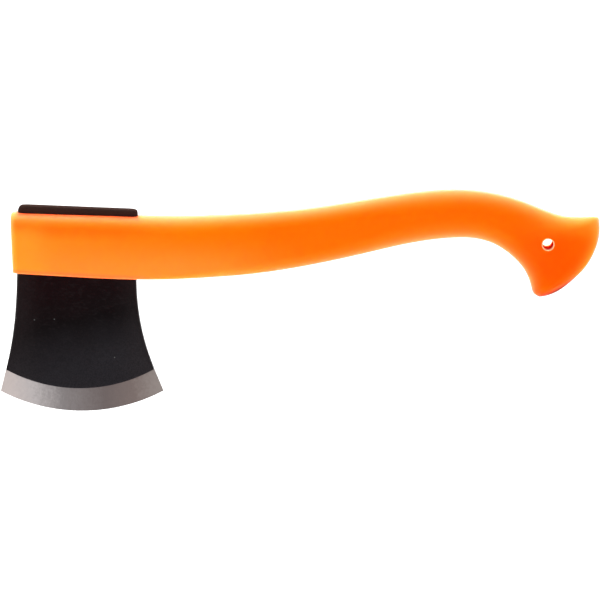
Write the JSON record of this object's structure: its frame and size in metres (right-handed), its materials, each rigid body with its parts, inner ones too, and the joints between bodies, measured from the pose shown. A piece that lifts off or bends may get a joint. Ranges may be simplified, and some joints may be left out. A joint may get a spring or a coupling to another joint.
{
  "type": "hatchet",
  "caption": "Short camping hatchet: a flared steel head with a flat poll, set in the eye of a curved moulded handle that ends in a hooked butt with a lanyard hole.",
  "frame": {"origin": "middle of the grip, where the hand holds the hatchet", "axes": "+X along the handle from the head to the butt, +Z from the cutting edge to the poll, Y is the thickness"},
  "size_m": [0.3199, 0.0246, 0.1196],
  "materials": {
    "coated_steel": "satin black baked coating with fine bumps, bare ground steel along the bevel",
    "core_plastic": "moulded dark grey glass-filled plastic, hidden under the cover",
    "cover_plastic": "smooth satin orange moulded plastic"
  },
  "bodies": {
    "root": {"axe_head": "coated_steel", "handle_core": "core_plastic", "handle_cover": "cover_plastic"}
  },
  "joints": []
}
